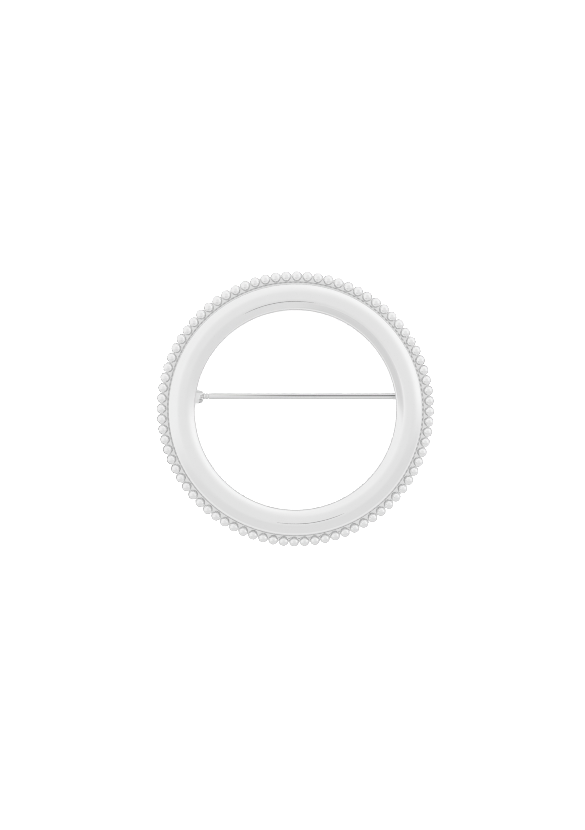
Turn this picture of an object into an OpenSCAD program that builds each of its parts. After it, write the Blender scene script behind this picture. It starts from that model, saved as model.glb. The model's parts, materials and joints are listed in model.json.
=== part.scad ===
// Circle brooch: a polished domed ring with a beaded border, and a hinged pin across its opening.
// It lies on its back: the lower edge of the border and the two fittings of the pin touch the surface,
// so the top of the ring stands a little higher. Millimetres, +Z up, +X along the pin to its point.

/* [Border] */
// Diameter over the beads
brooch_d = 40; // [38:0.5:44]
// Diameter of one bead
bead_d = 1.44; // [1.3:0.02:1.46]
// Number of beads round the border
bead_count = 80; // [60:1:80]
// Angle of the first bead from +X
bead_phase = -0.6; // [-2:0.1:2]
// Height of the rail that the beads stand on
rail_h = 0.55; // [0.45:0.05:0.65]
// Thickness of the plate that joins the rail to the ring
web_h = 0.25; // [0.2:0.05:0.35]

/* [Ring] */
// Width of the ring's section
section_w = 3.72; // [3.6:0.02:3.74]
// Height of the edges of the domed front above the flat back
edge_z = 1.75; // [1.7:0.01:1.8]
// Radius of the dome across the front
dome_r = 2.5; // [2.3:0.05:3]
// Height of the straight sides below the edges
side_h = 0.45; // [0.4:0.05:0.5]
// Radius of the curve that leads from the sides to the flat back
back_r = 1.9; // [1.9:0.01:1.92]
// Width of the groove between the ring and the rail, seen from the front
groove_w = 0.25; // [0.2:0.05:0.35]

/* [Pin] */
// Diameter of the pin's wire
pin_d = 0.86; // [0.8:0.02:0.9]
// Distance of the pin above the middle of the ring
pin_y = 1.62; // [1:0.02:2]
// Distance of the pin's centre line behind the ring's back
pin_depth = 2; // [1.9:0.05:2.2]
// Distance of the rivet from the middle of the ring
hinge_x = 14.2; // [14:0.05:14.4]
// Length of the pin from the rivet to its point
pin_length = 32.4; // [31.8:0.1:32.6]

/* [Hinge] */
// Diameter of the rivet
rivet_d = 0.6; // [0.5:0.02:0.66]
// Radius of the ears round the rivet
ear_r = 0.75; // [0.7:0.01:0.8]
// Thickness of one ear
ear_t = 0.28; // [0.24:0.02:0.32]
// Space between the ears
ear_gap = 0.9; // [0.9:0.01:0.96]

/* [Catch] */
// Distance of the catch from the middle of the ring
catch_x = 16.3; // [16.2:0.05:16.4]
// Length of the catch along the pin
catch_len = 1.2; // [1:0.1:1.4]
// Outer radius of the hook
hook_r = 0.91; // [0.88:0.01:0.91]
// Radius of the space in the hook that holds the pin
hook_bore_r = 0.5; // [0.5:0.01:0.56]

/* [Hidden] */
round_fn = 96;
bead_fn = 24;
wire_fn = 32;

// Ring and border, all measured from the ring's axis and from the flat back
bead_r = bead_d / 2;
bead_row_r = brooch_d / 2 - bead_r;
bead_z = bead_r + 0.04;
rail_out_r = bead_row_r + 0.17;
rail_in_r = bead_row_r - 0.81;
rail_chamfer = 0.06;
foot_chamfer = 0.1;
section_r = section_w / 2;
ring_r = rail_in_r - groove_w - section_r;
dome_z = edge_z - sqrt(pow(dome_r, 2) - pow(section_r, 2));
back_z = edge_z - side_h + sqrt(pow(back_r, 2) - pow(section_r, 2));

// The plates that solder the fittings to the ring reach up into the ring's curve
plate_top = 0.3;
plate_t = 0.65;
plate_bottom = plate_top - plate_t;

// Hinge: the hole in the ears grips the rivet, and the eye runs free on it
ear_span = ear_gap + 2 * ear_t;
rivet_r = rivet_d / 2;
rivet_grip = 0.005;
rivet_play = 0.03;
rivet_head_r = rivet_r + 0.14;
rivet_head_top_r = rivet_r - 0.04;
rivet_head_h = 0.1;
bracket_back_x = 17;
bracket_front_x = hinge_x - 0.3;

// Pin, measured from the rivet along the pin
pin_r = pin_d / 2;
eye_r = ear_r - 0.13;
eye_w = ear_gap - 0.06;
neck_r = pin_r - 0.16;
collar_count = 2;
collar_start = ear_r + 0.03;
collar_pitch = 0.41;
collar_len = 0.35;
collar_r = pin_r + 0.02;
collar_slope = 0.08;
shaft_start = 1.6;
shaft_chamfer = 0.06;
taper_len = 3.6;
taper_mid = 0.55;
taper_mid_r = pin_r * 0.62;
tip_r = 0.07;
shaft_end = pin_length - taper_len;

// Catch
mouth_w = 2 * hook_bore_r - 0.04;
catch_plate_len = 2.1;

// Rest: the rail's lower edge and the ears' lower edge lie on the surface
foot_r = rail_out_r - foot_chamfer;
ear_depth = pin_depth + ear_r;
rest_tilt = atan2(ear_depth, foot_r + pin_y - ear_span / 2);
rest_lift = foot_r * sin(rest_tilt);
rest_shift = bead_z * sin(rest_tilt);

// Lays the brooch, made with its back on the XY plane, down on its back
module at_rest() {
    translate([0, rest_shift, rest_lift])
        rotate([rest_tilt, 0, 0])
            children();
}

// A round bar along +X from x0 to x1, with its radius at each end
module bar_x(x0, x1, r0, r1) {
    translate([x0, 0, 0])
        rotate([0, 90, 0])
            cylinder(h = x1 - x0, r1 = r0, r2 = r1, $fn = wire_fn);
}

// A round bar along Y, centred on the XZ plane
module bar_y(length, r) {
    rotate([90, 0, 0])
        cylinder(h = length, r = r, center = true, $fn = wire_fn);
}

// Moves its children to the pin's line, at the given distance along it
module on_pin_line(x) {
    translate([x, pin_y, -pin_depth])
        children();
}

// The polished ring: a domed front, short straight sides, and a rounded back that is cut flat
module domed_ring() {
    rotate_extrude($fn = round_fn)
        intersection() {
            translate([ring_r, dome_z])
                circle(r = dome_r, $fn = round_fn);
            translate([ring_r, back_z])
                circle(r = back_r, $fn = round_fn);
            translate([ring_r - section_r, 0])
                square([section_w, 2 * section_w]);
        }
}

// The rail and the thin web that joins it to the ring, with the groove between them
module border_rail() {
    rotate_extrude($fn = round_fn)
        polygon([
            [ring_r, 0],
            [foot_r, 0],
            [rail_out_r, foot_chamfer],
            [rail_out_r, rail_h - rail_chamfer],
            [rail_out_r - rail_chamfer, rail_h],
            [rail_in_r + rail_chamfer, rail_h],
            [rail_in_r, rail_h - rail_chamfer],
            [rail_in_r, web_h],
            [ring_r, web_h]
        ]);
}

// The row of round beads that stands on the rail
module bead_row() {
    for (i = [0 : bead_count - 1])
        rotate([0, 0, bead_phase + i * 360 / bead_count])
            translate([bead_row_r, 0, bead_z])
                sphere(r = bead_r, $fn = bead_fn);
}

// One ear of the bracket: a straight-sided tongue with a round end about the rivet
module ear() {
    bar_y(ear_t, ear_r);
    translate([-ear_r, -ear_t / 2, 0])
        cube([2 * ear_r, ear_t, pin_depth]);
}

// The hinge bracket: a plate on the ring's back with two ears folded down from its sides
module hinge_bracket() {
    difference() {
        union() {
            translate([-bracket_back_x, pin_y - ear_span / 2, plate_bottom])
                cube([bracket_back_x - bracket_front_x, ear_span, plate_t]);
            for (side = [-1, 1])
                on_pin_line(-hinge_x)
                    translate([0, side * (ear_gap + ear_t) / 2, 0])
                        ear();
        }
        on_pin_line(-hinge_x)
            bar_y(2 * ear_span, rivet_r - rivet_grip);
    }
}

// The catch: a plain open hook on a plate, its mouth facing away from the ring
module catch() {
    on_pin_line(catch_x)
        difference() {
            union() {
                bar_x(-catch_len / 2, catch_len / 2, hook_r, hook_r);
                translate([-catch_len / 2, -hook_r, 0])
                    cube([catch_len, 2 * hook_r, pin_depth]);
            }
            bar_x(-catch_len, catch_len, hook_bore_r, hook_bore_r);
            translate([-catch_len, -mouth_w / 2, -2 * hook_r])
                cube([2 * catch_len, mouth_w, 2 * hook_r]);
        }
    translate([catch_x - catch_plate_len / 2, pin_y - hook_r, plate_bottom])
        cube([catch_plate_len, 2 * hook_r, plate_t]);
}

// The ring with everything that is soldered to it
module beaded_ring() {
    color("silver")
        at_rest() {
            domed_ring();
            border_rail();
            bead_row();
            hinge_bracket();
            catch();
        }
}

// The eye of the pin: a flattened round end with a hole for the rivet, and the neck that leads to the shaft
module pin_eye() {
    difference() {
        union() {
            bar_y(eye_w, eye_r);
            bar_x(0, shaft_start + shaft_chamfer, neck_r, neck_r);
        }
        bar_y(2 * eye_w, rivet_r + rivet_play);
    }
}

// One small barrel-shaped collar on the neck, thickest at its middle
module collar() {
    bar_x(0, collar_len / 2, collar_r - collar_slope, collar_r);
    bar_x(collar_len / 2, collar_len, collar_r, collar_r - collar_slope);
}

// The collars, side by side between the ears and the shaft
module pin_collars() {
    for (i = [0 : collar_count - 1])
        translate([collar_start + i * collar_pitch, 0, 0])
            collar();
}

// The straight shaft and its point, sharpened in two steps and rounded at the very end
module pin_shaft() {
    mid_x = shaft_end + taper_mid * taper_len;
    bar_x(shaft_start, shaft_start + shaft_chamfer, pin_r - shaft_chamfer, pin_r);
    bar_x(shaft_start + shaft_chamfer, shaft_end, pin_r, pin_r);
    bar_x(shaft_end, mid_x, pin_r, taper_mid_r);
    bar_x(mid_x, pin_length - tip_r, taper_mid_r, tip_r);
    translate([pin_length - tip_r, 0, 0])
        sphere(r = tip_r, $fn = bead_fn);
}

module pin_stem() {
    color("silver")
        at_rest()
            on_pin_line(-hinge_x) {
                pin_eye();
                pin_collars();
                pin_shaft();
            }
}

// The rivet, with a flat-topped head outside each ear
module hinge_rivet() {
    color("silver")
        at_rest()
            on_pin_line(-hinge_x) {
                bar_y(ear_span, rivet_r);
                for (side = [0, 1])
                    mirror([0, side, 0])
                        translate([0, ear_span / 2, 0])
                            rotate([-90, 0, 0])
                                cylinder(h = rivet_head_h, r1 = rivet_head_r, r2 = rivet_head_top_r, $fn = wire_fn);
            }
}

beaded_ring();
pin_stem();
hinge_rivet();
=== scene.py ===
# %% [markdown]
# A circle brooch in polished silver, modelled round a fixed frame.
#
# The real object is a smooth ring with a domed front, inside a low border of small beads. A pin crosses
# the opening behind it. It turns on a rivet at the left and rests in a hook at the right.
#
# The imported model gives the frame: where every part is, and how the pin turns. It can't give the look.
# Polished metal shows nothing but reflections, so each shape is modelled again here with smooth
# surfaces and softened edges, and it then stands for the plain solid in the same place.

# %% Load the frame and keep its box
import json
import math

import bmesh
import bpy
from mathutils import Matrix, Vector


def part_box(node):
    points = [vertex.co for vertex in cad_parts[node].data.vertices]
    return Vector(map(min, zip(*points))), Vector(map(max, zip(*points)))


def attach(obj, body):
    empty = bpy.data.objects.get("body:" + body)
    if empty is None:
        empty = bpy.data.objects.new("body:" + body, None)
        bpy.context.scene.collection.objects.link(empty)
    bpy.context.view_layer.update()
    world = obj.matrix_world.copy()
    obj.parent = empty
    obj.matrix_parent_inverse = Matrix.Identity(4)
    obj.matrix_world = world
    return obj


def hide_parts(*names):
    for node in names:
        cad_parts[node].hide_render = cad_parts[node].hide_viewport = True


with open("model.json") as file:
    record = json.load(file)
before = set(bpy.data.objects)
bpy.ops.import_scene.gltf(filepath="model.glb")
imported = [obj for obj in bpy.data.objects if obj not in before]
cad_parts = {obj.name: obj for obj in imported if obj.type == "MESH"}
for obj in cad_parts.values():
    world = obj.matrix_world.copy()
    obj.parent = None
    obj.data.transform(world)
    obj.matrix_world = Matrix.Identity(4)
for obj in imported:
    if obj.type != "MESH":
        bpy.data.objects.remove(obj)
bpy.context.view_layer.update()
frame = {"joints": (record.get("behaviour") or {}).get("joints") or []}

# %% [markdown]
# Everything is worked out in the brooch's own frame, because there the ring is a plain turned shape:
# its flat back is at height 0, the front is up, and the pin runs along X. The brooch lies on its back,
# and the pin's fittings lift its top edge, so the finished pieces are tilted into place at the end.
# The joint's axis tells the tilt, and the joint's place tells the shift.

# %% Sizes of the brooch, in metres
MM = 0.001
ring_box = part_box("beaded_ring")
brooch_r = (ring_box[1].x - ring_box[0].x) / 2

# Beads and the rail that they stand on
bead_r = 0.72 * MM
bead_count = 80
bead_phase = math.radians(-0.6)
bead_row_r = brooch_r - bead_r
bead_z = bead_r + 0.04 * MM
rail_h = 0.55 * MM
rail_out_r = bead_row_r + 0.17 * MM
rail_in_r = bead_row_r - 0.81 * MM
rail_edge = 0.06 * MM
foot_edge = 0.10 * MM

# The groove between the rail and the ring, and the web that closes it
groove_w = 0.25 * MM
web_h = 0.25 * MM
web_rise = 0.04 * MM

# The ring's section: the dome of its front meets short straight sides, and its back is rounded
section_w = 3.72 * MM
edge_z = 1.75 * MM
dome_r = 2.5 * MM
side_h = 0.45 * MM
back_r = 1.9 * MM
ring_r = rail_in_r - groove_w - section_w / 2

# The line behind the ring that the pin and its fittings lie on
pin_y = 1.62 * MM
pin_depth = 2.0 * MM
print("brooch %.2f mm wide, ring %.2f mm from the axis" % (2 * brooch_r / MM, ring_r / MM))

# %% The tilt and place of the brooch, from the joint
joint = frame["joints"][0]
axis = Vector(joint["axis"])
tilt = math.atan2(axis.z, axis.y)
rivet_own = Vector((joint["pos_m"][0], pin_y, -pin_depth))
turn = Matrix.Rotation(tilt, 4, "X")
shift = Vector(joint["pos_m"]) - turn @ rivet_own
at_rest = Matrix.Translation(shift) @ turn
print("tilt %.2f degrees, shift" % math.degrees(tilt), [round(v / MM, 3) for v in shift], "mm")

# %% [markdown]
# Operators act on whatever is selected, and loading the frame leaves its objects selected. These small
# helpers first clear the selection, then pick parts of a mesh by a rule about their place.

# %% Select whole objects
def only(*things):
    """Selects just these objects, and makes the first one active."""
    for other in bpy.context.selected_objects:
        other.select_set(False)
    for thing in things:
        thing.select_set(True)
    bpy.context.view_layer.objects.active = things[0]
    return things[0]


def start(name):
    """Names the primitive that was just added, and puts its place, turn and scale into its mesh."""
    thing = only(bpy.context.active_object)
    thing.name = thing.data.name = name
    bpy.ops.object.transform_apply(location=True, rotation=True, scale=True)
    return thing


# %% Select and change parts of a mesh
def edit(thing):
    """Goes into edit mode, with the whole mesh selected."""
    only(thing)
    bpy.ops.object.mode_set(mode="EDIT")
    bpy.ops.mesh.select_all(action="SELECT")


def leave():
    """Goes back to object mode."""
    bpy.ops.object.mode_set(mode="OBJECT")


def pick(thing, kind, rule):
    """In edit mode, selects just the vertices, edges or faces that the rule accepts."""
    bpy.ops.mesh.select_mode(type=kind)
    mesh = bmesh.from_edit_mesh(thing.data)
    parts = {"VERT": mesh.verts, "EDGE": mesh.edges, "FACE": mesh.faces}[kind]
    chosen = [part for part in parts if rule(part)]
    bpy.ops.mesh.select_all(action="DESELECT")
    for part in chosen:
        part.select_set(True)
    mesh.select_flush_mode()
    bmesh.update_edit_mesh(thing.data)
    return len(chosen)


def draw_out(x, y, z):
    """Extrudes the selected edges or faces."""
    bpy.ops.mesh.extrude_region_move(TRANSFORM_OT_translate={"value": (x, y, z)})


def face_outwards():
    """Makes all faces of the mesh point outwards."""
    bpy.ops.mesh.select_all(action="SELECT")
    bpy.ops.mesh.normals_make_consistent(inside=False)


# %% [markdown]
# The sizes here are thousandths of a metre, and Blender's own limits are too coarse for them. So two
# limits come first: how near two points count as one, and how near a point counts as lying on a cutting
# plane. A piece of metal is solid, so its mesh has to be a closed surface. Each piece is asked for its
# open edges when it is done, and the answer has to be none.

# %% Limits for small sizes, and a look at a finished mesh
WELD = 0.0005 * MM
FINE = 0.00001 * MM


def open_edges(thing):
    """Counts the edges that don't lie between exactly two faces. A closed surface has none."""
    mesh = bmesh.new()
    mesh.from_mesh(thing.data)
    count = sum(1 for edge in mesh.edges if not edge.is_manifold)
    mesh.free()
    return count


def tell(thing):
    """Prints what a piece has become."""
    print(thing.name, "has", len(thing.data.polygons), "faces and", open_edges(thing), "open edges")


def smooth(thing, degrees=35):
    """Shades the faces as one smooth surface, except where they meet at a steeper angle than this."""
    only(thing)
    bpy.ops.object.shade_smooth_by_angle(angle=math.radians(degrees))


# %% [markdown]
# The ring's front is a low dome with a crisp edge on both sides. The photograph shows this by what is
# missing: a full round section would mirror its own far side in a line near each edge. So the outline
# is made of two arcs. Both start as circles: the plane through the front's edges cuts the dome from
# the one, and two planes cut the rounded back from the other.

# %% Cut two arcs for the ring's outline
DOME_STEPS = 192
BACK_STEPS = 96


def section_arc(name, steps, radius, top, bottom):
    """Stands a circle across the ring's section, wide enough to meet its sides, and cuts it level."""
    reach = math.sqrt(radius ** 2 - section_w ** 2 / 4)
    centre_z = edge_z - reach if top is None else top + reach
    bpy.ops.mesh.primitive_circle_add(
        vertices=steps,
        radius=radius,
        fill_type="NGON",
        location=(ring_r, 0, centre_z),
        rotation=(math.pi / 2, 0, 0),
    )
    arc = start(name)
    edit(arc)
    bpy.ops.mesh.bisect(plane_co=(0, 0, bottom), plane_no=(0, 0, 1), clear_inner=True, threshold=FINE)
    if top is not None:
        bpy.ops.mesh.select_all(action="SELECT")
        bpy.ops.mesh.bisect(plane_co=(0, 0, top), plane_no=(0, 0, 1), clear_outer=True, threshold=FINE)
    leave()
    return arc


ring_back = section_arc("ring_back", BACK_STEPS, back_r, top=edge_z - side_h, bottom=0)
polished_ring = section_arc("polished_ring", DOME_STEPS, dome_r, top=None, bottom=edge_z)
print("dome of", len(polished_ring.data.vertices), "points, back of", len(ring_back.data.vertices))

# %% [markdown]
# Straight sides join the two arcs, and each corner gets a small round. A bevel stops at the next point,
# so the dome's points that lie within the round are dissolved first.

# %% Close the outline and round its corners
front_corner = 0.08 * MM
back_corner = 0.05 * MM

only(polished_ring, ring_back)
bpy.ops.object.join()
edit(polished_ring)
bpy.ops.mesh.delete(type="ONLY_FACE")
# The only edges this long are the straight ones that the cuts left across the section
pick(polished_ring, "EDGE", lambda e: e.calc_length() > 0.9 * section_w)
bpy.ops.mesh.delete(type="EDGE")
pick(polished_ring, "VERT", lambda v: abs(v.co.z - edge_z) < WELD)
bpy.ops.mesh.extrude_vertices_move(TRANSFORM_OT_translate={"value": (0, 0, -side_h)})
bpy.ops.mesh.select_all(action="SELECT")
bpy.ops.mesh.remove_doubles(threshold=WELD)
bpy.ops.mesh.edge_face_add()
pick(polished_ring, "VERT", lambda v: WELD < v.co.z - edge_z < front_corner)
bpy.ops.mesh.dissolve_verts()
corners = pick(polished_ring, "VERT", lambda v: abs(v.co.z - edge_z) < WELD)
bpy.ops.mesh.bevel(offset=front_corner, segments=4, affect="VERTICES")
corners += pick(polished_ring, "VERT", lambda v: abs(v.co.z) < WELD)
bpy.ops.mesh.bevel(offset=back_corner, segments=3, affect="VERTICES")
leave()
print("outline:", len(polished_ring.data.vertices), "points,", corners, "rounded corners")

# %% [markdown]
# A turned shape is an outline that is spun round an axis. A spin of a full turn joins its end to its
# start by itself, and then all faces are made to point outwards. A fine outline and many steps round
# the ring keep the reflections clean.

# %% Spin the outline into the polished ring
ROUND_STEPS = 320

edit(polished_ring)
bpy.ops.mesh.delete(type="ONLY_FACE")
bpy.ops.mesh.select_all(action="SELECT")
bpy.ops.mesh.spin(steps=ROUND_STEPS, angle=math.tau, center=(0, 0, 0), axis=(0, 0, 1))
face_outwards()
leave()
smooth(polished_ring)
tell(polished_ring)

# %% [markdown]
# The border is a low rail with one row of beads soldered on it. It repeats itself 80 times round the
# ring, so only one slice of it is modelled: a short piece of the rail with one bead. The slice starts
# as the rail's outline, a small rectangle with a thin web at its foot that reaches into the ring and
# closes the groove. The web's underside rises a hair on its way inwards: two faces in exactly one plane,
# here the web's and the ring's flat back, would flicker.

# %% Draw the rail's outline
bpy.ops.mesh.primitive_plane_add(
    size=1,
    location=((rail_in_r + rail_out_r) / 2, 0, rail_h / 2),
    rotation=(math.pi / 2, 0, 0),
)
bpy.context.active_object.scale = (rail_out_r - rail_in_r, rail_h, 1)
bead_border = start("bead_border")
edit(bead_border)
pick(bead_border, "VERT", lambda v: v.co.z > rail_h / 2)
bpy.ops.mesh.bevel(offset=rail_edge, segments=3, affect="VERTICES")
pick(bead_border, "VERT", lambda v: v.co.z < WELD and v.co.x > rail_in_r + groove_w)
bpy.ops.mesh.bevel(offset=foot_edge, segments=3, affect="VERTICES")
bpy.ops.mesh.select_all(action="SELECT")
bpy.ops.mesh.bisect(plane_co=(0, 0, web_h), plane_no=(0, 0, 1), threshold=FINE)
pick(
    bead_border,
    "EDGE",
    lambda e: all(abs(v.co.x - rail_in_r) < WELD and v.co.z < web_h + WELD for v in e.verts),
)
draw_out(ring_r - rail_in_r, 0, 0)
pick(bead_border, "VERT", lambda v: abs(v.co.x - ring_r) < WELD and v.co.z < WELD)
bpy.ops.transform.translate(value=(0, 0, web_rise))
face_outwards()
bpy.ops.mesh.dissolve_faces()
bpy.ops.mesh.delete(type="ONLY_FACE")
leave()
print("rail outline:", len(bead_border.data.vertices), "points")

# %% [markdown]
# The outline is spun through the angle of one bead, and its two ends are closed. The slice then lies
# evenly on both sides of the X axis, where its bead will sit.

# %% Spin one slice of the rail
SLICE_STEPS = 6
slice_angle = math.tau / bead_count


def turn_about_axis(thing, angle):
    """Turns a mesh about the ring's axis."""
    only(thing)
    thing.rotation_euler.z = angle
    bpy.ops.object.transform_apply(rotation=True)


def round_axis(point):
    """The angle of a point about the ring's axis."""
    return math.atan2(point.y, point.x)


turn_about_axis(bead_border, slice_angle / 2)
edit(bead_border)
bpy.ops.mesh.spin(steps=SLICE_STEPS, angle=slice_angle, center=(0, 0, 0), axis=(0, 0, 1))
bpy.ops.mesh.select_all(action="SELECT")
bpy.ops.mesh.fill_holes(sides=0)
face_outwards()
leave()
angles = [math.degrees(round_axis(v.co)) for v in bead_border.data.vertices]
print("slice from %.3f to %.3f degrees," % (min(angles), max(angles)), open_edges(bead_border), "open edges")

# %% [markdown]
# The bead is a small ball. It is sunk into the rail and stands out over its outer edge, and it is joined
# to the rail as solder joins them.

# %% Add the bead
BEAD_SIDES = 32
BEAD_RINGS = 18


def apply_modifier(thing, kind, **settings):
    """Adds one modifier, sets it up and applies it."""
    only(thing)
    modifier = thing.modifiers.new(kind.lower(), kind)
    for key, value in settings.items():
        setattr(modifier, key, value)
    bpy.ops.object.modifier_apply(modifier=modifier.name)


def cut_with(thing, tool, operation):
    """Joins the tool to the thing or cuts it away, and removes the tool."""
    apply_modifier(thing, "BOOLEAN", object=tool, operation=operation, solver="EXACT")
    bpy.data.objects.remove(tool)


bpy.ops.mesh.primitive_uv_sphere_add(
    segments=BEAD_SIDES, ring_count=BEAD_RINGS, radius=bead_r, location=(bead_row_r, 0, bead_z)
)
cut_with(bead_border, start("bead"), "UNION")
print("slice with its bead:", len(bead_border.data.polygons), "faces,", open_edges(bead_border), "open edges")

# %% [markdown]
# Now the slice's two ends are opened again, and an array sets 80 slices round the axis and welds each to
# the next, so that the border is one closed surface. An empty, turned by the angle of one slice, tells
# the array its step.

# %% Repeat the slice round the ring
SAME_ANGLE = 1e-6

edit(bead_border)
pick(
    bead_border,
    "FACE",
    lambda f: all(abs(abs(round_axis(v.co)) - slice_angle / 2) < SAME_ANGLE for v in f.verts),
)
bpy.ops.mesh.delete(type="FACE")
leave()
bead_step = bpy.data.objects.new("bead_step", None)
bpy.context.scene.collection.objects.link(bead_step)
bead_step.rotation_euler.z = slice_angle
apply_modifier(
    bead_border,
    "ARRAY",
    count=bead_count,
    use_relative_offset=False,
    use_object_offset=True,
    offset_object=bead_step,
    use_merge_vertices=True,
    use_merge_vertices_cap=True,
    merge_threshold=WELD,
)
bpy.data.objects.remove(bead_step)
turn_about_axis(bead_border, bead_phase)
smooth(bead_border)
tell(bead_border)

# %% [markdown]
# The hinge bracket is a small plate with two ears folded down from its sides. An ear is a tongue with
# a round end about the rivet: the lower half of a disc, whose cut edge is drawn up into the plate. It
# stops a hair below the plate's top, because two faces in exactly one plane would flicker.

# %% Boxes and rods to start from
ALONG_X = (0, math.pi / 2, 0)
ALONG_Y = (math.pi / 2, 0, 0)


def block(name, low, high):
    """A box between two corners, to be shaped further."""
    middle = [(a + b) / 2 for a, b in zip(low, high)]
    bpy.ops.mesh.primitive_cube_add(size=1, location=middle)
    bpy.context.active_object.scale = [b - a for a, b in zip(low, high)]
    return start(name)


def rod(name, place, radius, length, rotation, sides=48):
    """A round bar about a place, to be shaped further."""
    bpy.ops.mesh.primitive_cylinder_add(
        vertices=sides, radius=radius, depth=length, location=place, rotation=rotation
    )
    return start(name)


# %% One ear of the bracket
ear_r = 0.75 * MM
ear_t = 0.28 * MM
ear_gap = 0.90 * MM
ear_span = ear_gap + 2 * ear_t
plate_top = 0.10 * MM
plate_bottom = -0.35 * MM
hair = 0.02 * MM


def ear(side):
    """The tongue on one side of the pin: -1 towards the bottom of the brooch, 1 towards its top."""
    place = rivet_own + Vector((0, side * (ear_gap + ear_t) / 2, 0))
    tongue = rod("ear", place, ear_r, ear_t, ALONG_Y)
    edit(tongue)
    bpy.ops.mesh.bisect(
        plane_co=place, plane_no=(0, 0, 1), clear_outer=True, use_fill=True, threshold=FINE
    )
    pick(tongue, "FACE", lambda f: f.normal.z > 0.9 and abs(f.calc_center_median().z - place.z) < WELD)
    draw_out(0, 0, plate_top - place.z - hair)
    leave()
    return tongue


# %% Model the hinge bracket
rivet_r = 0.30 * MM
bracket_back = -17.0 * MM
bracket_front = rivet_own.x + 0.3 * MM
fold = 0.05 * MM


def soften(thing):
    """Rounds the sharp edges, as a fold or a file leaves them."""
    apply_modifier(
        thing, "BEVEL", width=fold, segments=3, limit_method="ANGLE", angle_limit=math.radians(40)
    )


hinge_bracket = block(
    "hinge_bracket",
    (bracket_back, pin_y - ear_span / 2, plate_bottom),
    (bracket_front, pin_y + ear_span / 2, plate_top),
)
for side in (-1, 1):
    cut_with(hinge_bracket, ear(side), "UNION")
cut_with(hinge_bracket, rod("hole", rivet_own, rivet_r, 2 * ear_span, ALONG_Y), "DIFFERENCE")
soften(hinge_bracket)
smooth(hinge_bracket)
tell(hinge_bracket)

# %% [markdown]
# The rivet is a short rod whose ends were spread over the ears by a hammer. Each end face is drawn
# out into a flat head, and the head's rim is sloped.

# %% Model the rivet
head_r = rivet_r + 0.14 * MM
head_h = 0.10 * MM
head_top = rivet_r - 0.04 * MM
# Each row draws the end out this far, and then makes it this many times as wide
HEAD_STEPS = ((0, head_r / rivet_r), (head_h * 0.45, 1.0), (head_h * 0.55, head_top / head_r))

hinge_pin = rod("hinge_rivet_headed", rivet_own, rivet_r, ear_span, ALONG_Y)
edit(hinge_pin)
for side in (-1, 1):
    pick(hinge_pin, "FACE", lambda f: f.normal.y * side > 0.9)
    end = rivet_own + Vector((0, side * ear_span / 2, 0))
    for rise, spread in HEAD_STEPS:
        draw_out(0, side * rise, 0)
        bpy.ops.transform.resize(value=(spread, 1, spread), center_override=end)
leave()
smooth(hinge_pin, 30)
tell(hinge_pin)

# %% [markdown]
# The catch is a plain open hook. A thick-walled tube lies along the pin, and its back is slotted so that
# the pin can swing out. A block ties it to a small plate on the ring.

# %% Model the catch
hook_r = 0.91 * MM
hook_bore = 0.50 * MM
hook_len = 1.20 * MM
mouth_w = 2 * hook_bore - 0.04 * MM
catch_x = 16.3 * MM
catch_plate = 2.10 * MM
catch_middle = Vector((catch_x, pin_y, -pin_depth))

catch_hook = rod("catch_hook", catch_middle, hook_r, hook_len, ALONG_X, sides=64)
block_low = (catch_x - hook_len / 2, pin_y - hook_r, -pin_depth)
block_high = (catch_x + hook_len / 2, pin_y + hook_r, plate_top - hair)
cut_with(catch_hook, block("neck", block_low, block_high), "UNION")
cut_with(catch_hook, rod("bore", catch_middle, hook_bore, 2 * hook_len, ALONG_X), "DIFFERENCE")
mouth_low = (catch_x - hook_len, pin_y - mouth_w / 2, -pin_depth - 2 * hook_r)
mouth_high = (catch_x + hook_len, pin_y + mouth_w / 2, -pin_depth)
cut_with(catch_hook, block("mouth", mouth_low, mouth_high), "DIFFERENCE")
plate_low = (catch_x - catch_plate / 2, pin_y - hook_r, plate_bottom)
plate_high = (catch_x + catch_plate / 2, pin_y + hook_r, plate_top)
cut_with(catch_hook, block("plate", plate_low, plate_high), "UNION")
soften(catch_hook)
smooth(catch_hook)
tell(catch_hook)

# %% [markdown]
# The pin is drawn wire. Its outline changes only in steps along its length, so it grows out of one
# circle: each row of the table gives a distance from the rivet and a radius there.

# %% List the sections of the pin
pin_r = 0.43 * MM
neck_r = pin_r - 0.16 * MM
collar_r = pin_r + 0.02 * MM
tip_r = 0.07 * MM
pin_length = 32.4 * MM
shaft_end = pin_length - 3.6 * MM
collar_len = 0.35 * MM
collar_bulge = 0.08 * MM
collar_side = 0.01 * MM
COLLAR_STEPS = 6


def collar(start_at):
    """Rows for one barrel-shaped collar: it rises steeply from the neck and bulges a little."""
    rows = [(start_at, neck_r)]
    for i in range(COLLAR_STEPS + 1):
        along = i / COLLAR_STEPS
        bulge = 1 - (2 * along - 1) ** 2
        place = start_at + collar_side + along * (collar_len - 2 * collar_side)
        rows.append((place, collar_r - collar_bulge * (1 - bulge)))
    rows.append((start_at + collar_len, neck_r))
    return rows


sections = [(0.35 * MM, neck_r)] + collar(0.78 * MM) + collar(1.19 * MM)
sections += [
    (1.60 * MM, neck_r),
    (1.61 * MM, pin_r - 0.06 * MM),
    (1.66 * MM, pin_r),
    (shaft_end, pin_r),
    (shaft_end + 1.98 * MM, pin_r * 0.62),
    (pin_length - 2 * tip_r, tip_r * 1.9),
    (pin_length - tip_r, tip_r),
    (pin_length - 0.25 * tip_r, tip_r * 0.6),
]
print("pin of", len(sections), "sections")


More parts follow.
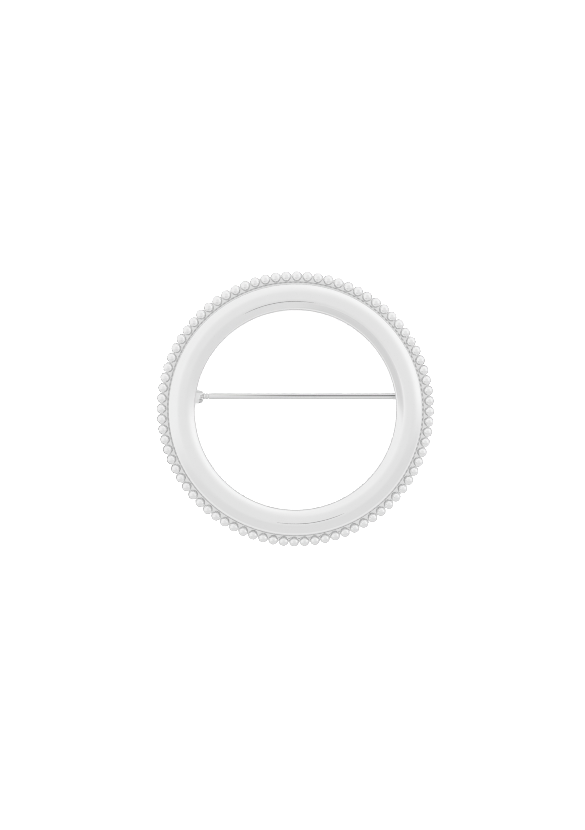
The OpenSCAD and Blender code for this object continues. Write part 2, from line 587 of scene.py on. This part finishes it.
# %% Grow the pin through its sections
def lathe_x(name, origin, table, sides):
    """Grows a closed round bar along +X through the sections of a table."""
    place, radius = table[0]
    bpy.ops.mesh.primitive_circle_add(
        vertices=sides,
        radius=radius,
        fill_type="NGON",
        location=origin + Vector((place, 0, 0)),
        rotation=ALONG_X,
    )
    bar = start(name)
    edit(bar)
    for next_place, next_radius in table[1:]:
        draw_out(next_place - place, 0, 0)
        spread = next_radius / radius
        centre = origin + Vector((next_place, 0, 0))
        bpy.ops.transform.resize(value=(1, spread, spread), center_override=centre)
        place, radius = next_place, next_radius
    face_outwards()
    leave()
    return bar


pin_wire = lathe_x("pin_wire", rivet_own, sections, 64)
print("pin without its eye:", len(pin_wire.data.polygons), "faces")

# %% Add the pin's eye
eye_r = ear_r - 0.13 * MM
eye_w = ear_gap - 0.06 * MM
rivet_play = 0.03 * MM

eye = rod("eye", rivet_own, eye_r, eye_w, ALONG_Y)
soften(eye)
cut_with(pin_wire, eye, "UNION")
cut_with(pin_wire, rod("hole", rivet_own, rivet_r + rivet_play, 2 * eye_w, ALONG_Y), "DIFFERENCE")
smooth(pin_wire, 32)
tell(pin_wire)

# %% [markdown]
# Now the pieces are tilted into place. Each is tied to the body that carries it, and the plain solid that it
# stands for is hidden. Each row also gives the name of its finish in the record.

# %% Lay the brooch down and tie the pieces to the frame
PIECES = (
    (polished_ring, "brooch", "beaded_ring", "polished_silver"),
    (bead_border, "brooch", "beaded_ring", "polished_silver"),
    (hinge_bracket, "brooch", "beaded_ring", "polished_silver"),
    (catch_hook, "brooch", "beaded_ring", "polished_silver"),
    (hinge_pin, "brooch", "hinge_rivet", "pin_wire"),
    (pin_wire, "pin", "pin_stem", "pin_wire"),
)
for piece, body, node, slot in PIECES:
    piece.matrix_world = at_rest
    only(piece)
    bpy.ops.object.transform_apply(location=True, rotation=True, scale=True)
    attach(piece, body)
    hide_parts(node)
    print(piece.name, "rides on", body, "and stands for", node)

# %% [markdown]
# A material is a small sum: some noise, scaled and shifted, goes into colour, roughness or bump. To
# write such sums as plain Python, one small class wraps a node's socket and gives it the operators.
# One method makes any other node: it sets the node's own choices first and then fills its inputs.

# %% A socket that can be used in sums
class Sock:
    """An output socket of a node tree, with arithmetic that adds Math nodes."""

    def __init__(self, tree, socket):
        self.tree = tree
        self.socket = socket

    def fill(self, target, value):
        """Links a socket to an input, or writes a plain value there."""
        if isinstance(value, Sock):
            self.tree.links.new(value.socket, target)
        else:
            target.default_value = value

    def node(self, kind, inputs=(), output=0, **settings):
        """Adds a node: its settings are set first, then its inputs by name or number."""
        new = self.tree.nodes.new(kind)
        for key, value in settings.items():
            setattr(new, key, value)
        for key, value in dict(inputs).items():
            self.fill(new.inputs[key], value)
        return Sock(self.tree, new.outputs[output]) if new.outputs else None

    def math(self, operation, *values):
        return self.node("ShaderNodeMath", enumerate(values), operation=operation)

    def __add__(self, other):
        return self.math("ADD", self, other)

    def __sub__(self, other):
        return self.math("SUBTRACT", self, other)

    def __mul__(self, other):
        return self.math("MULTIPLY", self, other)

    def __truediv__(self, other):
        return self.math("DIVIDE", self, other)

    def __rsub__(self, other):
        return self.math("SUBTRACT", other, self)

    __radd__ = __add__
    __rmul__ = __mul__

    def band(self, low, high):
        """Goes smoothly from 0 at low to 1 at high."""
        inputs = {"Value": self, "From Min": low, "From Max": high}
        return self.node("ShaderNodeMapRange", inputs, interpolation_type="SMOOTHSTEP")

    def axes(self):
        """The x, y and z of a place or a direction."""
        x = self.node("ShaderNodeSeparateXYZ", {"Vector": self})
        return [Sock(self.tree, part) for part in x.socket.node.outputs]

    def grey(self):
        """The grey colour of a tone."""
        return self.node("ShaderNodeCombineColor", {"Red": self, "Green": self, "Blue": self})


def tree_of(owner, kind, output):
    """Empties the node tree of a material or world, and returns a first socket to work with."""
    owner.use_nodes = True
    tree = owner.node_tree
    tree.nodes.clear()
    first = tree.nodes.new(kind)
    return Sock(tree, first.outputs[output])


# %% [markdown]
# Painted shade and painted reflections darken some places of the metal. On the border a painted shade darkens
# the rail a little, and the bottom of the groove more, with a row of dark spots there, two to a bead,
# clearest at the right, which are painted reflections of the beads. On the front of the pin's wire, one fine
# dark line is a painted reflection. Both marks follow a place on the metal.

# %% Painted shade and painted reflections on the metal
SPOTS_ROUND = 2 * bead_count
spot_phase = math.radians(105)


def from_axis(own):
    """The distance of a point from the ring's axis."""
    flat = own.node("ShaderNodeVectorMath", {0: own, 1: (1, 1, 0)}, operation="MULTIPLY")
    return own.node("ShaderNodeVectorMath", {0: flat}, output="Value", operation="LENGTH")


def painted_groove_shade(own):
    """Painted shade: goes from 0 on the beads to a little on the rail, and up to 1 in the spots along the
    groove, which are painted reflections.
    """
    right, back, height = own.axes()
    reflection_spots = own.math("SINE", own.math("ARCTAN2", back, right) * SPOTS_ROUND + spot_phase)
    clearest = right.band(4 * MM, 12 * MM)
    radius = from_axis(own)
    groove = radius.band(rail_in_r - 0.19 * MM, rail_in_r - 0.13 * MM)
    groove = groove * radius.band(rail_in_r, rail_in_r - 0.04 * MM)
    groove = groove * (0.65 - 0.15 * clearest + (0.25 + 0.25 * clearest) * reflection_spots)
    groove = groove * height.band(web_h / 3, web_h * 2 / 3)
    return (0.15 + 0.85 * groove) * height.band(0.8 * MM, 0.5 * MM)


def painted_reflection_line(own):
    """A painted reflection: 1 on a fine line along the front of the wire, which fades towards the hinge, and
    0 elsewhere.
    """
    along, sideways, height = own.axes()
    across = sideways - pin_y
    line = across.band(0.04 * MM, 0.08 * MM) * across.band(0.21 * MM, 0.17 * MM)
    return line * along.band(-12.5 * MM, 1 * MM) * height.band(-pin_depth, -pin_depth + 0.2 * MM)


# %% [markdown]
# All the silver is one metal with several finishes. Polishing leaves long, very low waves and hair-fine
# scratches. Filing leaves more, and drawing wire through a die leaves lines along it. One function
# holds what they share, and each finish is a call with its own numbers. Two Mapping nodes undo the
# shift and the tilt of the brooch, so that every pattern is laid out in the brooch's own frame.

# %% Silver and its finishes
MICRON = 0.000001
# How many features of a noise fit in a metre
WAVES = 160
CLOUDS = 420
HAIRLINES = 9000


def silver_finish(name, tone, haze, wave, scratch, stretch=(1, 1, 1), mark=None, depth=0.0):
    """Makes one finish: its tone, mean roughness, and the depth of its waves and scratches in metres."""
    material = bpy.data.materials.new(name)
    place = tree_of(material, "ShaderNodeTexCoord", "Object")
    own = place.node("ShaderNodeMapping", {"Vector": place, "Location": -shift}, vector_type="POINT")
    own = own.node("ShaderNodeMapping", {"Vector": own, "Rotation": (-tilt, 0, 0)}, vector_type="POINT")
    waves = own.node("ShaderNodeTexNoise", {"Vector": own, "Scale": WAVES, "Detail": 1}, output="Fac")
    grain = own.node("ShaderNodeMapping", {"Vector": own, "Scale": stretch}, vector_type="POINT")
    lines = own.node("ShaderNodeTexNoise", {"Vector": grain, "Scale": HAIRLINES, "Detail": 3}, output="Fac")
    cloud = own.node("ShaderNodeTexNoise", {"Vector": own, "Scale": CLOUDS, "Detail": 4}, output="Fac")
    relief = (waves - 0.5) * (2 * wave) + (lines - 0.5) * (2 * scratch)
    bump = own.node("ShaderNodeBump", {"Height": relief, "Distance": 1.0, "Strength": 1.0})
    dull = haze * (0.7 + 0.6 * cloud)
    shade = tone * (0.985 + 0.03 * cloud)
    # A mark darkens the tone where shade or a reflection is painted on, and roughens it a little
    if mark:
        painted_mark = mark(own)
        shade = shade * (1 - depth * painted_mark)
        dull = dull + 0.2 * painted_mark
    surface = own.node(
        "ShaderNodeBsdfPrincipled",
        {"Base Color": shade.grey(), "Metallic": 1.0, "Roughness": dull, "Normal": bump},
    )
    own.node("ShaderNodeOutputMaterial", {"Surface": surface})
    return material


mirror_silver = silver_finish(
    "polished silver", tone=0.94, haze=0.035, wave=1.2 * MICRON, scratch=0.02 * MICRON
)
# The border's mark is painted shade in the groove and on the rail, with painted reflections of the beads as
# spots
bead_silver = silver_finish(
    "bead silver",
    tone=0.94,
    haze=0.04,
    wave=1.0 * MICRON,
    scratch=0.02 * MICRON,
    mark=painted_groove_shade,
    depth=0.52,
)
filed_silver = silver_finish(
    "filed silver", tone=0.97, haze=0.36, wave=1.5 * MICRON, scratch=0.25 * MICRON, stretch=(1, 6, 6)
)
# The wire's mark is a painted reflection: a fine dark line along its front
wire_silver = silver_finish(
    "drawn silver wire",
    tone=0.87,
    haze=0.08,
    wave=1.0 * MICRON,
    scratch=0.2 * MICRON,
    stretch=(0.03, 1, 1),
    mark=painted_reflection_line,
    depth=0.9,
)

# %% Give each piece its finish
FINISHES = (
    (polished_ring, mirror_silver),
    (bead_border, bead_silver),
    (hinge_bracket, filed_silver),
    (catch_hook, filed_silver),
    (hinge_pin, filed_silver),
    (pin_wire, wire_silver),
)
for piece, material in FINISHES:
    piece.data.materials.clear()
    piece.data.materials.append(material)
    print(piece.name, "is", material.name)

# %% [markdown]
# Polished metal is a picture of the room. Here the room is a white tent: nearly even light from above,
# a little brighter towards the back and the sides, and a shade darker towards the front.

# %% The tent
TENT_TONE = 0.815

world = bpy.data.worlds.new("tent")
bpy.context.scene.world = world
toward = tree_of(world, "ShaderNodeTexCoord", "Generated")
right, back, up = toward.axes()
slope = 1 - up
left_tone = TENT_TONE + 0.09 * slope.band(0.0, 0.24)
right_tone = TENT_TONE + 0.16 * slope.band(0.05, 0.6)
back_tone = left_tone + (right_tone - left_tone) * right.band(-0.6, 0.6)
front_tone = TENT_TONE - 0.055 * slope.band(0.0, 0.17)
is_back = (back - 0.15 * right).band(-0.6, -0.15)
tent_tone = front_tone + (back_tone - front_tone) * is_back
tent = toward.node("ShaderNodeBackground", {"Color": tent_tone.grey(), "Strength": 1.0})
toward.node("ShaderNodeOutputWorld", {"Surface": tent})
print("tent of", len(world.node_tree.nodes), "nodes")

# %% [markdown]
# The floor is plain white paper. In the metal the paper is a painted grey, greyer than it looks and a little
# lighter towards the back, with painted shade where the brooch would shade it: inside the ring, and close
# under the beads, most of all at the back. Seen from below, the paper lets the view through, so that the back
# of the brooch can be looked at.

# %% The floor
FLOOR_SIZE = 4


def white_paper():
    """Matt white for the camera, a glowing painted grey with painted shade for the metal, and clear from
    below.
    """
    material = bpy.data.materials.new("white paper")
    place = tree_of(material, "ShaderNodeTexCoord", "Object")
    right, back, _ = place.axes()
    away = from_axis(place)
    far_side = (back - 0.3 * right).band(-17 * MM, 2 * MM)
    under_beads = away.band(16.5 * MM, 19 * MM) * away.band(30 * MM, 21.5 * MM)
    painted_ring_shade = away.band(16.5 * MM, 15 * MM)
    painted_bead_shade = (0.2 + 0.39 * far_side) * under_beads
    # Painted shade: in the metal the paper glows with this tone, darker under the beads and inside the ring
    tone = 0.85 + 0.065 * far_side - painted_bead_shade - 0.28 * painted_ring_shade
    seen_in_metal = place.node("ShaderNodeEmission", {"Color": tone.grey(), "Strength": 1.0})

    fibre = place.node("ShaderNodeTexNoise", {"Vector": place, "Scale": 900, "Detail": 3}, output="Fac")
    bump = place.node("ShaderNodeBump", {"Height": fibre * 0.00002, "Distance": 1.0})
    matt = place.node("ShaderNodeBsdfDiffuse", {"Color": (0.97, 0.97, 0.97, 1), "Normal": bump})
    reflected = place.node("ShaderNodeLightPath", output="Is Glossy Ray")
    sheet = place.node("ShaderNodeMixShader", {0: reflected, 1: matt, 2: seen_in_metal})
    clear = place.node("ShaderNodeBsdfTransparent")
    behind = place.node("ShaderNodeNewGeometry", output="Backfacing")
    both_sides = place.node("ShaderNodeMixShader", {0: behind, 1: sheet, 2: clear})
    place.node("ShaderNodeOutputMaterial", {"Surface": both_sides})
    return material


bpy.ops.mesh.primitive_plane_add(size=FLOOR_SIZE)
floor = start("floor")
floor.data.materials.append(white_paper())
print("floor of", floor.data.materials[0].name)

# %% [markdown]
# Two broad lamps light the paper from straight above. One is soft and keeps its shadow close under the
# brooch, and the other is the light of the whole tent. The metal mirrors the tent and the paper but not
# the lamps. The tent's own colour lights nothing else, or the paper would be lit twice.

# %% The lamps above the floor
def lamp(name, strength, spread):
    """A lamp straight above, whose light the metal doesn't mirror."""
    bpy.ops.object.light_add(type="SUN", location=(0, 0, 0.5), rotation=(0, 0, 0))
    new = bpy.context.active_object
    new.name = name
    new.data.energy = strength * math.pi
    new.data.angle = math.radians(spread)
    new.visible_glossy = False
    print(name, "spreads its light over", spread, "degrees")


lamp("lamp_soft", 1.45, 25)
lamp("lamp_tent", 0.60, 150)
world.cycles_visibility.diffuse = False

# %% [markdown]
# The tent has one thin dark seam, high above the front of the brooch. The domed ring bends it into two
# fine dark arcs: one on its front part, and one just inside its crown at the back. The seam is a flat
# strip on its own, hidden from the camera, because the tent itself is only a colour for each direction.

# %% The seam of the tent
SEAM_PLACE = (3.0 * MM, -41.0 * MM, 81.4 * MM)
SEAM_LEAN = math.radians(50)
seam_half_length = 6.2 * MM
seam_half_width = 2.1 * MM


def reflected_only(thing):
    """Makes a piece of the stage that only the metal sees."""
    thing.visible_camera = False
    thing.visible_diffuse = False
    thing.visible_shadow = False


def dark_cloth():
    """The nearly black cloth of the seam."""
    material = bpy.data.materials.new("dark seam")
    place = tree_of(material, "ShaderNodeTexCoord", "Object")
    cloth = place.node("ShaderNodeBsdfDiffuse", {"Color": (0.02, 0.02, 0.02, 1)})
    place.node("ShaderNodeOutputMaterial", {"Surface": cloth})
    return material


bpy.ops.mesh.primitive_circle_add(
    radius=1, fill_type="NGON", location=SEAM_PLACE, rotation=(SEAM_LEAN, 0, 0)
)
bpy.context.active_object.scale = (seam_half_length, seam_half_width, 1)
seam = start("tent_seam")
reflected_only(seam)
seam.data.materials.append(dark_cloth())
print("seam faces", [round(v, 2) for v in seam.data.polygons[0].normal])

# %% [markdown]
# Photographers hang grey boards round polished silver to give its slopes a soft tone. This one hangs
# over the front left and leans away from the brooch, with its foot above the ring's opening. Only the
# ring's inner slope at the back right, which is grey in the photograph, mirrors its upper face, and
# nothing sees it from below. It fades towards its sides and its top, so that the metal shows no edge:
# as seen from that slope, its grey part is a fan, which is clear where it stands too steeply above it.

# %% The grey of the board
DIAGONAL = math.sqrt(0.5)
slope_out = -15.2 * MM
slope_high = 5.9 * MM
fan_middle = math.radians(10)
fan_clear = math.radians(38)
fan_full = math.radians(20)
STEEP_CLEAR = 1.4
STEEP_FULL = 0.8
BOARD_TONE = (0.69, 0.69, 0.69, 1)


def board_grey():
    """Grey inside the fan on the upper face, and clear elsewhere."""
    material = bpy.data.materials.new("grey board")
    place = tree_of(material, "ShaderNodeTexCoord", "Object")
    _, _, height = place.axes()
    to_board = {0: place, 1: (-DIAGONAL, -DIAGONAL, 0)}
    to_side = {0: place, 1: (DIAGONAL, -DIAGONAL, 0)}
    outwards = place.node("ShaderNodeVectorMath", to_board, output="Value", operation="DOT_PRODUCT")
    across = place.node("ShaderNodeVectorMath", to_side, output="Value", operation="DOT_PRODUCT")
    off_middle = place.math("ABSOLUTE", place.math("ARCTAN2", across, outwards) - fan_middle)
    steepness = (height - slope_high) / (outwards - slope_out)
    solid = off_middle.band(fan_clear, fan_full) * steepness.band(STEEP_CLEAR, STEEP_FULL)
    behind = place.node("ShaderNodeNewGeometry", output="Backfacing")
    face = place.node("ShaderNodeEmission", {"Color": BOARD_TONE, "Strength": 1.0})
    clear = place.node("ShaderNodeBsdfTransparent")
    board_face = place.node("ShaderNodeMixShader", {0: 1 - solid * (1 - behind), 1: face, 2: clear})
    place.node("ShaderNodeOutputMaterial", {"Surface": board_face})
    return material


# %% The grey board
BOARD_LEAN = math.radians(66)
board_length = 110 * MM
board_width = 120 * MM
foot_out = 12 * MM
foot_high = 8.5 * MM

middle_out = foot_out + board_length / 2 * math.cos(BOARD_LEAN)
middle_high = foot_high + board_length / 2 * math.sin(BOARD_LEAN)
bpy.ops.mesh.primitive_plane_add(
    size=1,
    location=(-middle_out * DIAGONAL, -middle_out * DIAGONAL, middle_high),
    rotation=(BOARD_LEAN, 0, math.radians(135)),
)
bpy.context.active_object.scale = (board_width, board_length, 1)
board = start("grey_board")
reflected_only(board)
board.data.materials.append(board_grey())
print("board faces", [round(v, 2) for v in board.data.polygons[0].normal])

# %% [markdown]
# Metal next to metal is a hall of mirrors: a ray goes from bead to ring to bead many times before it
# leaves. With the usual four glossy bounces it would end black, so more are allowed. A slightly narrow
# pixel filter keeps the fine lines crisp, and the plain view leaves the pale tones as they are.

# %% Bounces, crispness and tones
scene = bpy.context.scene
scene.cycles.max_bounces = 24
scene.cycles.glossy_bounces = 24
scene.cycles.transparent_max_bounces = 16
scene.cycles.filter_width = 1.1
scene.view_settings.view_transform = "Standard"
print("up to", scene.cycles.glossy_bounces, "glossy bounces")

# %% [markdown]
# The camera looks straight down from well above. The brooch's own tilt gives the photograph's angle, so
# the camera needs none. It stands a little off the middle, as the brooch does in the photograph.

# %% Camera
CAMERA_PLACE = (-0.42 * MM, -0.735 * MM, 352 * MM)

bpy.ops.object.camera_add(location=CAMERA_PLACE, rotation=(0, 0, 0))
camera = bpy.context.active_object
camera.data.lens = 105
camera.data.sensor_width = 36
camera.data.clip_start = 0.01
camera.data.clip_end = 100
scene.camera = camera
print("camera %.0f mm above the floor" % (camera.location.z / MM))
